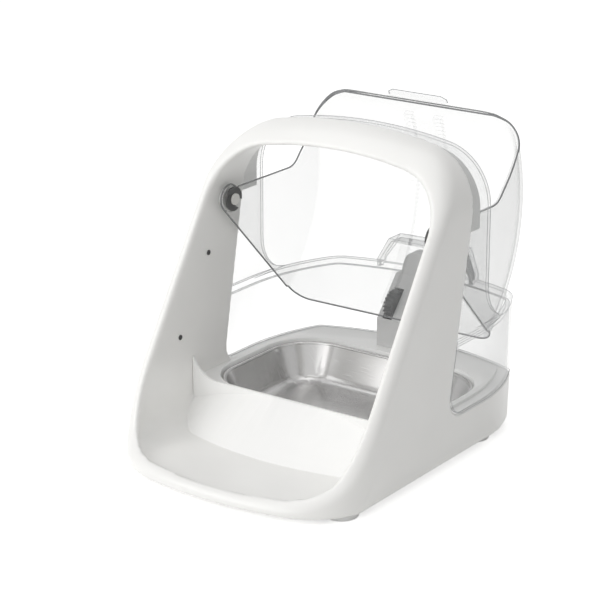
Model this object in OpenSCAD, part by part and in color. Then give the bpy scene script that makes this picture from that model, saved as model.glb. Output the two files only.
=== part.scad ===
// Microchip pet feeder with a hinged visor lid, lift-out bowl and geared lid drive
// Origin on the floor under the middle of the whole, X to the right, Y to the back, Z up

/* [Body] */
// Width across the body
body_w = 244; // [236:1:250]
// Front of the lip, ahead of the origin
lip_front = 170; // [166:1:174]
// Rear of the clear shell at its rim, behind the origin
shell_rear = 173; // [171:1:176]
// Underside of the base above the floor
base_z = 4; // [3:0.5:5]
// Height of the deck ledge
deck_z = 46.5; // [46:0.5:47]
// Thickness of the white outer walls
wall = 2.6; // [2:0.1:3]
// Radius of the front corners seen from above
front_corner_r = 70; // [62:1:74]
// Radius of the rear corners seen from above
rear_corner_r = 30; // [24:1:34]
// Radius where the rear wall turns under the base
keel_r = 36; // [30:1:38]

/* [Hood] */
// Top of the hood
hood_top = 275; // [272:1:279]
// Outer radius of the hood's upper corners
hood_corner_r = 54; // [50:1:58]
// Half width of the opening
opening_hw = 110.7; // [110.4:0.1:111.5]
// Top of the opening
opening_top = 257; // [255:1:260]
// Depth of the solid front rim
rim_depth = 8; // [7:0.5:10]
// Slope of the front, forward travel per unit of height
front_slope = 0.635; // [0.6:0.005:0.66]
// Slope of the hood's rear edge
back_slope = 0.188; // [0.17:0.002:0.2]
// Height of the low front lip
lip_z = 15.5; // [14.5:0.5:17]
// Thickness of the low front lip
lip_t = 10; // [8:0.5:11]
// Top of the tray floor
floor_z = 12; // [11.5:0.5:13]

/* [Visor] */
// Hinge axis behind the origin
pivot_y = 6.5; // [6:0.1:7]
// Hinge axis above the floor
pivot_z = 200; // [199:0.5:201]
// Outer radius of the visor panel
visor_r = 152; // [151:0.25:152.5]
// Half width of the visor
visor_hw = 106; // [105:0.25:106.3]
// Wall of the visor
visor_t = 2.6; // [2.2:0.1:3]
// Radius between the visor's panel and its sides
visor_corner_r = 18; // [14:1:20]
// Outer radius of the thick edges
bead_r = 156.5; // [154:0.25:156.5]
// Angle of the upper edge above level
visor_up = 30; // [28:0.5:31]
// Angle of the lower edge below level
visor_down = 50; // [48.5:0.5:50.5]
// Width of the lifting tab
tab_w = 60; // [50:1:70]

/* [Drive] */
// Angle of the pinions below level, seen from the hinge
drive_angle = 42.5; // [42:0.25:43]
// Distance of each rack from the middle
rack_x = 15; // [14.5:0.25:15.5]
// Width of each rack
rack_w = 8; // [7:0.25:8.5]
// Tooth module of racks and pinions
rack_module = 1.25;
// Teeth of a full circle of the rack
rack_teeth = 252;
// Teeth of each pinion
pinion_teeth = 22;
// Teeth of the idler's wheel on the pinion
idler_teeth = 16;
// Tooth module of the motor stage
motor_module = 1;
// Teeth of the idler's large wheel
wheel_teeth = 22;
// Teeth of the motor's gear
motor_teeth = 12;
// Width of the drive column
column_w = 50; // [49:1:54]
// Width of the column's rounded top
dome_w = 40; // [36:1:44]

/* [Bowl] */
// Width of the bowl over its rim
bowl_w = 208; // [206:1:208]
// Depth of the bowl over its rim, front to back
bowl_d = 146; // [144:1:146]
// Middle of the bowl behind the origin
bowl_y = 33; // [33:0.5:34]
// Corner radius of the bowl's rim
bowl_corner_r = 45; // [43:1:50]
// Radius of the rolled rim
bowl_rim_r = 1.9; // [1.5:0.1:2]
// Sheet thickness of the bowl
bowl_t = 1; // [0.8:0.1:1.2]

/* [Cells] */
// Diameter of a cell
cell_d = 14.3;
// Length of a cell
cell_l = 50;

/* [Hidden] */
$fn = 96;
hw = body_w / 2;
side_r = 185;
side_y = 56;
rear_r = 262;
front_r = 320;
crown_r = 450;
lean = 11.2;
rear_y = shell_rear;
hump_z = 138;
rear_end = rear_y + (hump_z - 112) * tan(lean) - 0.3 / cos(lean);
middle_y = (rear_end - lip_front) / 2;
overlap = 0.02;
rear_c = [0, rear_y - rear_r];
side_c = [hw - side_r, side_y];
in_r = hood_corner_r - 8;
tray_r = 25;
liner_t = 2.6;
trim_z = 199;
shell_t = 2.5;
rim_z = 112;
rim_h = 6;
arm_in = 3.5;
arm_y = 69;
arm_fillet = 35;
plate_top = deck_z + 2.5;
bib_y = -43;
pin_r = 5;
pin_gap = 0.06;
hub_r = 12;
close_angle = 58.6;
rack_pr = rack_module * rack_teeth / 2;
pinion_pr = rack_module * pinion_teeth / 2;
idler_pr = rack_module * idler_teeth / 2;
wheel_pr = motor_module * wheel_teeth / 2;
motor_pr = motor_module * motor_teeth / 2;
pinion_c = [pivot_y + (rack_pr + pinion_pr) * cos(drive_angle), pivot_z - (rack_pr + pinion_pr) * sin(drive_angle)];
idler_dir = -68;
idler_c = pinion_c + (pinion_pr + idler_pr) * [cos(idler_dir), sin(idler_dir)];
motor_dir = 55;
motor_c = idler_c + (wheel_pr + motor_pr) * [cos(motor_dir), sin(motor_dir)];
face_dist = 166.5;
face_tilt = 41.2;
col_t = 2.2;
cd = [cos(drive_angle), -sin(drive_angle)];

// Lines of the side view
function front_line(z) = -32 + front_slope * (z - 190);
function back_line(z) = 6 + back_slope * (z - 61);

// Upper meeting point of two circles
function meet(a, ra, b, rb) =
    let (d = norm(b - a))
    let (k = (ra * ra - rb * rb + d * d) / (2 * d))
    let (h = sqrt(ra * ra - k * k))
    let (m = a + k * (b - a) / d)
    let (n = [-(b - a)[1], (b - a)[0]] / d)
    let (p = m + h * n)
    let (q = m - h * n)
    p[1] > q[1] ? p : q;

// Extrusions across and along the body
module across(x0, x1) {
    translate([x0, 0, 0])
        rotate([90, 0, 90])
            linear_extrude(x1 - x0)
                children();
}

module along(y0, y1) {
    translate([0, y1, 0])
        rotate([90, 0, 0])
            linear_extrude(y1 - y0)
                children();
}

module sides() {
    children();
    mirror([1, 0, 0])
        children();
}

// Piece outside a rounded corner of radius r at c, between directions u and v
module corner(c, u, v, r) {
    difference() {
        polygon([c, c + 90 * u, c + 90 * (u + v), c + 90 * v]);
        translate(c)
            circle(r + overlap);
    }
}

// Outline seen from above, inset by t
module rear_plan(t) {
    c = meet(side_c, side_r - rear_corner_r, rear_c, rear_r - rear_corner_r);
    ua = (c - side_c) / norm(c - side_c);
    ub = (c - rear_c) / norm(c - rear_c);
    difference() {
        intersection() {
            union() {
                translate([-hw + t, -260])
                    square([2 * (hw - t), side_y + 260]);
                intersection() {
                    translate(side_c)
                        circle(side_r - t);
                    translate([-side_c[0], side_c[1]])
                        circle(side_r - t);
                    translate([-hw, side_y - 1])
                        square([2 * hw, 150]);
                }
            }
            translate(rear_c)
                circle(rear_r - t);
        }
        corner(c, ua, ub, rear_corner_r - t);
        mirror([1, 0])
            corner(c, ua, ub, rear_corner_r - t);
    }
}

module front_corners(t) {
    xc = hw - front_corner_r;
    yb = front_r - lip_front;
    c = [xc, yb - sqrt(pow(front_r - front_corner_r, 2) - xc * xc)];
    u = (c - [0, yb]) / norm(c - [0, yb]);
    corner(c, [1, 0], u, front_corner_r - t);
    mirror([1, 0])
        corner(c, [1, 0], u, front_corner_r - t);
}

module plan(t) {
    difference() {
        intersection() {
            rear_plan(t);
            translate([0, front_r - lip_front])
                circle(front_r - t);
        }
        front_corners(t);
    }
}

// Upright solid over the outline, its front corners only as high as they reach
module upright(t) {
    difference() {
        intersection() {
            translate([0, 0, -5])
                linear_extrude(320)
                    rear_plan(t);
            translate([0, front_r - lip_front, -6])
                cylinder(r = front_r - t, h = 322);
        }
        translate([0, 0, -10])
            linear_extrude(120)
                front_corners(t);
    }
}

// Arch seen from the front, with a crowned top
module arch(w, top, r, crown, z0, rb) {
    zb = top - crown;
    c = [w - r, zb + sqrt(pow(crown - r, 2) - pow(w - r, 2))];
    u = (c - [0, zb]) / norm(c - [0, zb]);
    difference() {
        intersection() {
            translate([-w, z0])
                square([2 * w, top]);
            translate([0, zb])
                circle(crown);
        }
        corner(c, [1, 0], u, r);
        mirror([1, 0])
            corner(c, [1, 0], u, r);
        if (rb > 0) {
            corner([w - rb, z0 + rb], [1, 0], [0, -1], rb);
            corner([rb - w, z0 + rb], [-1, 0], [0, -1], rb);
        }
    }
}

module outer_arch(t) {
    arch(hw - t, hood_top - t, hood_corner_r - t, crown_r - t, 0, 0);
}

module inner_arch(t) {
    arch(opening_hw - t, opening_top - t, in_r - t, crown_r - 18 - t, floor_z + t, tray_r - t);
}

// Body seen from the front, narrowing towards the floor, inset by t
module front_view(t) {
    fr = 176;
    c = [hw - fr, deck_z];
    e = [hw - fr + sqrt(pow(fr - 6, 2) - pow(deck_z - base_z - 6, 2)), base_z + 6];
    u = (e - c) / norm(e - c);
    difference() {
        arch(hw - t, hood_top - t, hood_corner_r - t, crown_r - t, t == 0 ? base_z : base_z - 2, 0);
        for (s = [0, 1])
            mirror([s, 0]) {
                difference() {
                    translate([60, -50])
                        square([90, 50 + deck_z]);
                    translate(c)
                        circle(fr - t);
                    translate([0, -100])
                        square([e[0], 200]);
                }
                if (t == 0)
                    corner(e, u, [0, -1], 6);
            }
    }
}

// Leaning rear wall as a tilted round prism
module leaning(t) {
    ry = rear_r / cos(lean);
    translate([0, rear_y - (rim_z - deck_z) * tan(lean) - ry, deck_z])
        rotate([-lean, 0, 0])
            translate([0, 0, -150])
                cylinder(r = rear_r - t, h = 400);
}

// Rear edge of the base, turned under, inset by t
keel_y = rear_y - (rim_z - base_z - keel_r) * tan(lean) - keel_r + 1.2;

module keel(t) {
    corner([keel_y, base_z + keel_r], [1, 0], [0, -1], keel_r - t);
}

// Side view of the body: lip, sloping front, crown, rear edge and base
module side_view() {
    ct = 18;
    n = norm([front_slope, 1]);
    cy = front_line(hood_top - ct) + ct * n;
    tr = 20;
    toe = [front_line(lip_z + tr) - tr * n, lip_z + tr];
    br = 20;
    bn = norm([back_slope, 1]);
    foot = [back_line(deck_z + br) + br * bn, deck_z + br];
    difference() {
        polygon([[-300, base_z - 3], [-300, lip_z], [toe[0], lip_z], toe + tr * [1, -front_slope] / n,
            [front_line(300), 300], [back_line(300), 300], foot + br * [-1, back_slope] / bn,
            [foot[0], deck_z], [300, deck_z], [300, base_z - 3]]);
        translate(toe)
            circle(tr + overlap);
        translate(foot)
            circle(br + overlap);
        corner([cy, hood_top - ct], [-1, front_slope] / n, [0, 1], ct);
        keel(0);
    }
}

// Everything behind the front line by d
module behind(d) {
    polygon([[front_line(-60) + d, -60], [front_line(400) + d, 400], [500, 400], [500, -60]]);
}

// Everything ahead of the rear line by d
module ahead(d) {
    polygon([[back_line(-60) - d, -60], [back_line(400) - d, 400], [-500, 400], [-500, -60]]);
}

// Rounded rectangle from its half sizes
module round_rect(hx, hy, r) {
    square([2 * (hx - r), 2 * hy], center = true);
    square([2 * hx, 2 * (hy - r)], center = true);
    for (sx = [-1, 1], sy = [-1, 1])
        translate([sx * (hx - r), sy * (hy - r)])
            circle(r);
}

// Sweeps a section round a rounded rectangle, section X measured from the corner's centre
module ring_sweep(hx, hy, r) {
    ax = hx - r;
    ay = hy - r;
    for (i = [0 : 3])
        translate([(i == 0 || i == 3) ? ax : -ax, i < 2 ? ay : -ay, 0])
            rotate([0, 0, 90 * i])
                rotate_extrude(angle = 90)
                    children();
    for (s = [0, 180])
        rotate([0, 0, s]) {
            translate([ax, ay, 0])
                rotate([90, 0, 0])
                    linear_extrude(2 * ay)
                        children();
            translate([-ax, ay, 0])
                rotate([0, 0, 90])
                    rotate([90, 0, 0])
                        linear_extrude(2 * ax)
                            children();
        }
}

// Involute gear outline and its helpers
function inv_at(r, rb) = r <= rb ? 0 : let (t = sqrt(pow(r / rb, 2) - 1)) t * 180 / PI - atan(t);
function half_at(r, pr, n) =
    let (rb = pr * cos(20))
    90 / n - 0.09 / pr * 180 / PI - (inv_at(r, rb) - inv_at(pr, rb));
function flank_radii(pr, m) = [for (k = [0 : 4]) pr + m * (-1.15 + 2 * k / 4)];
function gear_points(pr, m, n, turn, first, last) =
    [for (i = [first : last])
        let (a = turn + i * 360 / n)
        each concat(
            [for (r = flank_radii(pr, m)) let (h = a - half_at(r, pr, n)) r * [cos(h), sin(h)]],
            [for (k = [4 : -1 : 0]) let (r = flank_radii(pr, m)[k]) let (h = a + half_at(r, pr, n)) r * [cos(h), sin(h)]])];
function mesh_turn(turn1, n1, dir, n2) =
    dir + 180 + (-(turn1 - dir) / (360 / n1) - 0.5) * 360 / n2;

pinion_turn = 180 - drive_angle;
rack_turn = -drive_angle + 180 / rack_teeth;
idler_turn = mesh_turn(pinion_turn, pinion_teeth, idler_dir, idler_teeth);
motor_turn = mesh_turn(0, wheel_teeth, motor_dir, motor_teeth);

// White outer shell of the hood and base
module body_housing() {
    color("#f4f4f1")
    difference() {
        difference() {
            // Outer form
            intersection() {
                upright(0);
                across(-hw - 1, hw + 1)
                    side_view();
                leaning(0);
                along(-200, 200)
                    front_view(0);
            }
            // Space inside the walls
            intersection() {
                along(-200, 200)
                    front_view(wall);
                across(-hw - 1, hw + 1)
                    difference() {
                        behind(rim_depth);
                        keel(wall);
                    }
                leaning(wall);
                upright(wall);
            }
        }
        // Opening in the front
        intersection() {
            along(-200, 200)
                inner_arch(0);
            across(-hw - 1, hw + 1)
                polygon([[-300, 5], [-300, 25], [front_line(25) - 40, 25], [front_line(300) - 40, 300],
                    [front_line(300) + rim_depth + 4, 300], [front_line(5) + rim_depth + 4, 5]]);
            translate([0, front_r - lip_front, -6])
                cylinder(r = front_r - lip_t, h = 322);
        }
        // Slot for the front of the tray floor
        translate([0, 0, floor_z - liner_t - 0.1])
            linear_extrude(liner_t + 1)
                intersection() {
                    plan(lip_t + 2);
                    translate([-85.8, -200])
                        square([171.6, 70]);
                }
        // Button bore
        translate([button_x, 140, button_z])
            rotate([-90, 0, 0])
                cylinder(r = 4.6, h = 30);
    }
}

button_x = 50;
button_z = 29;

// Inner wall of the hood and floor of the tray
module hood_liner() {
    color("#e9e9e6")
    difference() {
        union() {
            // Walls
            intersection() {
                along(-200, 200)
                    difference() {
                        inner_arch(-liner_t);
                        inner_arch(0);
                    }
                across(-hw, hw)
                    intersection() {
                        behind(rim_depth + 0.25);
                        ahead(0.1);
                        polygon([[-300, 0], [-60, 0], [-60, 37], [-46, 37], [-46, deck_z + 0.1],
                            [300, deck_z + 0.1], [300, 300], [-300, 300]]);
                    }
            }
            // Floor up to the lip
            translate([0, 0, floor_z - liner_t])
                linear_extrude(liner_t)
                    intersection() {
                        plan(lip_t + 2.1);
                        translate([-85.7, -200])
                            square([171.4, 75]);
                    }
            // Web across the rear edge
            intersection() {
                along(-200, 200)
                    difference() {
                        outer_arch(wall + 0.1);
                        inner_arch(-0.5);
                    }
                across(-hw, hw)
                    intersection() {
                        ahead(0.1);
                        difference() {
                            square([120, 300]);
                            ahead(2.6);
                        }
                        translate([0, deck_z + 0.1])
                            square([120, 300]);
                    }
            }
            sides()
                translate([opening_hw + 1, pivot_y, pivot_z])
                    rotate([0, 90, 0])
                        cylinder(r = 9, h = 3.3);
        }
        sides() {
            translate([opening_hw - 2, pivot_y, pivot_z])
                rotate([0, 90, 0])
                    cylinder(r = pin_r, h = 12);
            for (p = sensors)
                translate([opening_hw - 2, p[0], p[1]])
                    rotate([0, 90, 0])
                        cylinder(r = 2.3, h = 8);
        }
        bib_solid(-0.1);
        translate([0, 0, -1])
            linear_extrude(110)
                front_corners(wall + 0.2);
    }
}

sensors = [[-18, 156], [-59, 90]];

// Solid behind the bib, inset by t
module bib_solid(t) {
    r0 = 280;
    k = 43 / 36;
    o = t / sin(atan(1 / k));
    intersection() {
        translate([0, 0, 0])
            linear_extrude(90)
                union() {
                    translate([-opening_hw + 0.3 + t, -37])
                        square([2 * (opening_hw - 0.3 - t), 240]);
                    for (s = [-1, 1])
                        translate([s * (opening_hw - 50.3), -37])
                            circle(50 - t);
                    translate([-(opening_hw - 50.3), -90])
                        square([2 * (opening_hw - 50.3), 100]);
                }
        union() {
            translate([0, 193, 0])
                cylinder(r1 = r0 + 14 * k - o, r2 = r0 - 76 * k - o, h = 90);
            translate([-hw, bib_y + t, 0])
                cube([2 * hw, 300, 90]);
        }
    }
}

module bib_top() {
    translate([-hw, floor_z])
        square([2 * hw, 50 - floor_z]);
    for (s = [-1, 1])
        translate([s * 84, 50])
            difference() {
                translate([s > 0 ? 0 : -28, -1])
                    square([28, 29]);
                translate([0, 28])
                    circle(28);
            }
}

// Wall profile of the bowl and of its pocket, g outside the bowl's outer face
function wall_points(g, t) =
    let (s = 10 / 22)
    let (n = norm([s, 1]))
    let (cx = bowl_corner_r - 3.2 - (44.6 - 26) * s - 13 * n)
    let (a0 = -atan(s))
    concat(
        [[cx + (44.6 - 26) * s + (13 + g) * n, 44.6]],
        [for (i = [0 : 6]) let (a = a0 - i * (90 + a0) / 6) [cx + (13 + g) * cos(a), 26 + (13 + g) * sin(a)]],
        [for (i = [6 : -1 : 0]) let (a = a0 - i * (90 + a0) / 6) [cx + (13 + g - t) * cos(a), 26 + (13 + g - t) * sin(a)]],
        [[cx + (44.6 - 26) * s + (13 + g - t) * n, 44.6]]);

bowl_foot = bowl_corner_r - 3.2 - (44.6 - 26) * 10 / 22 - 13 * norm([10 / 22, 1]);
bowl_hx = bowl_w / 2;
bowl_hy = bowl_d / 2;
pocket_gap = 1;
pocket_t = 2;
ledge_z = deck_z - 2 * bowl_rim_r - 0.2;

// Bib wall, deck and pocket of the bowl
module bowl_deck() {
    color("#eceae6")
    union() {
        difference() {
            union() {
                intersection() {
                    difference() {
                        bib_solid(0);
                        bib_solid(wall);
                    }
                    along(-200, bib_y + wall)
                        bib_top();
                }
                intersection() {
                    bib_solid(0);
                    translate([0, 0, deck_z - 0.1])
                        linear_extrude(plate_top - deck_z + 0.1)
                            plan(11.6);
                    leaning(11.6);
                }
                // Ledge under the shell and the liner
                intersection() {
                    translate([0, bib_y + 1, deck_z - wall])
                        linear_extrude(wall)
                            translate([0, -bib_y - 1])
                                plan(wall + 0.15);
                    leaning(wall + 0.15);
                    translate([-hw, bib_y + 1, 0])
                        cube([2 * hw, 300, 100]);
                }
            }
            translate([0, bowl_y, 20])
                linear_extrude(60)
                    round_rect(bowl_hx + 0.8, bowl_hy + 0.8, bowl_corner_r + 0.8);
        }
        // Rim seat and pocket walls
        translate([0, bowl_y, 0]) {
            ring_sweep(bowl_hx, bowl_hy, bowl_corner_r) {
                translate([bowl_corner_r + 0.8, ledge_z - 2])
                    square([1.8, plate_top - ledge_z + 2 - 0.2]);
                translate([bowl_corner_r - 3, ledge_z - 2])
                    square([4.5, 2]);
                intersection() {
                    polygon(wall_points(pocket_gap + pocket_t, pocket_t));
                    square([80, ledge_z - 0.5]);
                }
            }
            translate([0, 0, 26 - 13 - pocket_gap - pocket_t])
                linear_extrude(pocket_t)
                    round_rect(bowl_hx - bowl_corner_r + bowl_foot + 0.5,
                        bowl_hy - bowl_corner_r + bowl_foot + 0.5, bowl_foot + 0.5);
        }
    }
}

// Lift-out bowl
module steel_bowl() {
    color("#c9cacb")
    translate([0, bowl_y, 0]) {
        ring_sweep(bowl_hx, bowl_hy, bowl_corner_r) {
            polygon(wall_points(0, bowl_t));
            translate([bowl_corner_r - bowl_rim_r, deck_z - bowl_rim_r])
                circle(bowl_rim_r, $fn = 32);
        }
        translate([0, 0, 13])
            linear_extrude(bowl_t)
                round_rect(bowl_hx - bowl_corner_r + bowl_foot + 0.2,
                    bowl_hy - bowl_corner_r + bowl_foot + 0.2, bowl_foot + 0.2);
    }
}

// Bottom cover
module pan_plan(t) {
    intersection() {
        plan(4 + t);
        translate([-hw + 8 + t, front_line(base_z) + 9.8 + t])
            square([2 * (hw - 8 - t), keel_y - front_line(base_z) - 10 - 2 * t]);
    }
}

screw_spots = [[108, -88], [109, 30], [56, 112]];

module base_pan() {
    color("#dededb")
    difference() {
        union() {
            translate([0, 0, base_z])
                linear_extrude(2.4)
                    pan_plan(0.2);
            sides()
                for (p = screw_spots)
                    translate([p[0], p[1], base_z])
                        cylinder(r = 4.5, h = 5);
            // Board posts
            for (p = [[30, 100], [74, 100], [30, 114], [74, 114]])
                translate([p[0], p[1], base_z])
                    cylinder(r = 2.5, h = 9.9);
        }
        sides()
            for (p = screw_spots)
                translate([p[0], p[1], base_z - 1]) {
                    cylinder(r = 1.7, h = 20);
                    cylinder(r = 3.2, h = 3.2);
                }
        translate([-54, -71, base_z - 1])
            cube([108, 40, 8]);
    }
}

module case_screws() {
    color("#9a9c9f")
    sides()
        for (p = screw_spots)
            translate([p[0], p[1], base_z + 0.3]) {
                cylinder(r = 2.9, h = 1.8);
                cylinder(r = 1.45, h = 9.5);
            }
}

module rubber_feet() {
    color("#d9d9d6")
    sides()
        for (p = [[98, -118], [98, 84]])
            translate([p[0], p[1], 0])
                rotate_extrude()
                    polygon([[0, 0], [10, 0], [11, 1], [11, base_z], [0, base_z]]);
}

// Clear wall round the rear, its rim, arms and rear hump
module shell_solid(t) {
    intersection() {
        linear_extrude(300)
            rear_plan(t);
        leaning(t);
    }
}

module clear_shell() {
    fz = rim_z + arm_fillet;
    color("#dfe4e6", 0.35)
    union() {
        // Lower wall
        intersection() {
            difference() {
                shell_solid(0.3);
                shell_solid(0.3 + shell_t);
            }
            across(-hw, hw)
                difference() {
                    translate([0, deck_z + 0.1])
                        square([250, rim_z - deck_z - 0.1]);
                    translate([0.4, 0])
                        side_view();
                }
        }
        // Rim
        intersection() {
            difference() {
                shell_solid(0.3);
                shell_solid(arm_in + shell_t);
            }
            across(-hw, hw)
                difference() {
                    translate([0, rim_z - rim_h])
                        square([250, rim_h]);
                    ahead(-0.7);
                }
            difference() {
                translate([-150, -100, 0])
                    cube([300, 300, 200]);
                translate([-28, 100, 0])
                    cube([56, 100, 200]);
            }
        }
        // Arms and the band over the top
        intersection() {
            along(-10, 130)
                difference() {
                    outer_arch(arm_in);
                    outer_arch(arm_in + shell_t);
                }
            across(-hw, hw)
                difference() {
                    union() {
                        translate([0, rim_z - 1])
                            square([arm_y, 200]);
                        difference() {
                            translate([0, rim_z - 1])
                                square([arm_y + arm_fillet, arm_fillet + 1]);
                            translate([arm_y + arm_fillet, fz])
                                circle(arm_fillet + overlap);
                        }
                    }
                    ahead(-1);
                }
            linear_extrude(300)
                rear_plan(0.3);
        }
        // Hump over the drive
        intersection() {
            along(156, 200)
                difference() {
                    hump(0);
                    hump(shell_t);
                }
            leaning(0.3);
        }
        intersection() {
            difference() {
                leaning(0.3);
                leaning(0.3 + shell_t);
            }
            along(156, 200)
                hump(0);
        }
    }
}

module hump(t) {
    intersection() {
        polygon([[-54 + t, rim_z - 2], [-38 + t, hump_z - t], [38 - t, hump_z - t], [54 - t, rim_z - 2]]);
        translate([0, 96])
            round_rect(50 - t, 42 - t, 14 - t);
    }
}

// Grey strip behind the hood's rear edge
module trim_arch() {
    color("#cacac8", 0.8)
    intersection() {
        along(0, 60)
            difference() {
                outer_arch(arm_in + shell_t + 0.2);
                outer_arch(arm_in + shell_t + 2.2);
            }
        across(-hw, hw)
            difference() {
                translate([0, trim_z])
                    square([57, 100]);
                ahead(-0.4);
            }
    }
}

// Visor lid
module drum(r, w, f) {
    rotate([0, 90, 0])
        rotate_extrude()
            intersection() {
                union() {
                    square([2 * (r - f), 2 * w], center = true);
                    square([2 * r, 2 * (w - f)], center = true);
                    for (s = [-1, 1])
                        translate([r - f, s * (w - f)])
                            circle(f);
                }
                translate([0, -w])
                    square([r, 2 * w]);
            }
}

module visor_side(shift) {
    k = 45.5;
    f = 25;
    a = 65.2;
    ux = 103.5;
    uz = 7.5;
    tl = f * tan(a / 2);
    circle(hub_r + 2 * overlap);
    difference() {
        union() {
            polygon([hub_r * [-sin(k), -cos(k)], hub_r * [-sin(k), -cos(k)] + 260 * [cos(k), -sin(k)],
                [260, 0], [ux + 200 * cos(a), uz + 200 * sin(a)], [ux, uz], [0, uz]]);
            difference() {
                polygon([[ux - tl, uz - 1], [ux + 2, uz - 1], [ux + tl * cos(a), uz + tl * sin(a)], [ux - tl, uz + f]]);
                translate([ux - tl, uz + f])
                    circle(f + overlap);
            }
        }
    }
}

// What is cut away beyond an edge plane turned up by a, with round corners of radius r
module edge_cut(a, r) {
    w = visor_hw + 0.7;
    up = a > 0 ? 1 : -1;
    rotate([a, 0, 0]) {
        translate([-w - 5, up > 0 ? 60 : 140, up > 0 ? 0 : -90])
            cube([2 * w + 10, 140, 90]);
        for (s = [-1, 1])
            along(up > 0 ? 101 : 137, 205)
                corner([s * (w - r), -up * r], [s, 0], [0, up], r);
    }
}

// Curved bar along an edge of the visor, from angle a over an angle of d
module edge_bar(a, d, r0, r1, w) {
    rotate([a, 0, 0])
        rotate([90, 0, 90])
            translate([0, 0, -w])
                rotate_extrude(angle = d)
                    translate([r0, 0])
                        square([r1 - r0, 2 * w]);
}

module visor() {
    first = ceil((drive_angle - 46.5) * rack_teeth / 360);
    last = floor((22 + drive_angle) * rack_teeth / 360);
    color("#e6eaec", 0.35)
    translate([0, pivot_y, pivot_z])
    difference() {
        union() {
            difference() {
                intersection() {
                    difference() {
                        drum(visor_r, visor_hw, visor_corner_r);
                        drum(visor_r - visor_t, visor_hw - visor_t, visor_corner_r - visor_t);
                    }
                    across(-visor_hw - 1, visor_hw + 1)
                        visor_side(0);
                }
                edge_cut(visor_up, 34);
                edge_cut(-visor_down, 16);
            }
            // Thick edges and the lifting tab
            edge_bar(visor_up - 2.1, 2, visor_r - 1, bead_r, visor_hw - 34);
            edge_bar(0.1 - visor_down, 2, visor_r - 1, bead_r, visor_hw - visor_corner_r - 1);
            edge_bar(visor_up - 0.6, 2.8, bead_r - 3.2, bead_r - 0.2, tab_w / 2);
            // Racks
            for (s = [-1, 1])
                across(s * rack_x - rack_w / 2, s * rack_x + rack_w / 2)
                    polygon(concat(
                        gear_points(rack_pr, rack_module, rack_teeth, rack_turn, first, last),
                        [for (i = [last : -1 : first])
                            let (a = rack_turn + i * 360 / rack_teeth)
                            (visor_r - 1) * [cos(a), sin(a)]]));
            sides()
                translate([visor_hw - visor_t - 1, 0, 0])
                    rotate([0, 90, 0])
                        cylinder(r = hub_r - 0.5, h = visor_t + 1.3);
        }
        rotate([0, 90, 0])
            cylinder(r = pin_r + pin_gap, h = 300, center = true);
    }
}

// Hinge parts
module on_pivot(x) {
    translate([x, pivot_y, pivot_z])
        rotate([0, 90, 0])
            children();
}

module pivot_pins() {
    color("#d5d2cc")
    sides()
        difference() {
            union() {
                on_pivot(visor_hw - 7.5)
                    cylinder(r = pin_r, h = 16.4);
                on_pivot(visor_hw + 9)
                    cylinder(r = 8, h = 2);
            }
            difference() {
                on_pivot(visor_hw - 5.7)
                    cylinder(r = 9, h = 1.7);
                on_pivot(visor_hw - 6)
                    cylinder(r = pin_r - 0.8, h = 3);
            }
        }
}

module pivot_bushes() {
    color("#c8c8c5")
    sides()
        difference() {
            on_pivot(visor_hw + 0.3)
                cylinder(r = 9, h = opening_hw - visor_hw - 0.7);
            on_pivot(visor_hw)
                cylinder(r = pin_r + 0.02, h = 20);
        }
}

module pivot_clips() {
    color("#4b4a48")
    sides()
        difference() {
            on_pivot(visor_hw - 5.6)
                cylinder(r = 10.8, h = 1.5);
            on_pivot(visor_hw - 7)
                cylinder(r = pin_r - 0.75, h = 5);
            translate([visor_hw - 7, pivot_y, pivot_z])
                across(0, 5)
                    polygon([[0, 0], [20, -4], [20, -16], [2, -7]]);
        }
}

// Drive column
module column_side(t) {
    // The floor of the inside is left open
    n = [cos(face_tilt), -sin(face_tilt)];
    u = [sin(face_tilt), cos(face_tilt)];
    p0 = [pivot_y, pivot_z] + (face_dist + t) * n;
    lo = p0 + u * ((118 + t - p0[0]) / u[0]);
    hi = p0 + u * ((110 - t * 0.5 - p0[1]) / u[1]);
    z0 = t > 0 ? plate_top - 5 : plate_top + 0.1;
    polygon([[118 + t, z0], lo, hi, [158 + t, 128 - t], [200, 128 - t], [200, z0]]);
}

module column_front(t) {
    translate([-column_w / 2 + t, plate_top - 5])
        square([column_w - 2 * t, 115 - plate_top - t]);
    translate([0, 100])
        round_rect(dome_w / 2 - t, 28 - t, 7 - t);
}

module column_solid(t, gap) {
    intersection() {
        across(-60, 60)
            column_side(t);
        along(100, 200)
            column_front(t);
        leaning(4 + gap);
    }
}

module drive_housing() {
    color("#a9aaa9")
    difference() {
        union() {
            difference() {
                column_solid(0, 2.7);
                column_solid(col_t, 0);
            }
            // Plate that carries the motor
            intersection() {
                across(-4.4, -2.4)
                    column_side(1);
                along(100, 200)
                    column_front(1);
                leaning(7);
                translate([-10, 100, plate_top + 0.1])
                    cube([20, 100, 100]);
            }
            for (s = [0, 1])
                mirror([s, 0, 0])
                    translate([column_w / 2 - col_t, pinion_c[0], pinion_c[1]])
                        rotate([0, 90, 0])
                            cylinder(r = 4.5, h = col_t);
        }
        // Slots
        for (s = [-1, 1])
            translate([0, pinion_c[0], pinion_c[1]])
                rotate([-face_tilt, 0, 0])
                    translate([s * rack_x - 4.9, -20, -15.6])
                        cube([9.8, 26, 31.2]);
        // Bearings
        across(-column_w / 2 + 0.95, column_w / 2 - 0.95)
            translate(pinion_c)
                circle(2.05);
        across(-column_w / 2 + 0.95, column_w / 2 - 0.95)
            translate(idler_c)
                circle(1.5);
        across(-4.5, -2.3)
            translate(motor_c)
                circle(3.2);
    }
}

module drive_back_cover() {
    color("#9c9d9c")
    difference() {
        intersection() {
            column_solid(0, 0);
        }
        leaning(4 + 2.65);
    }
}

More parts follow.
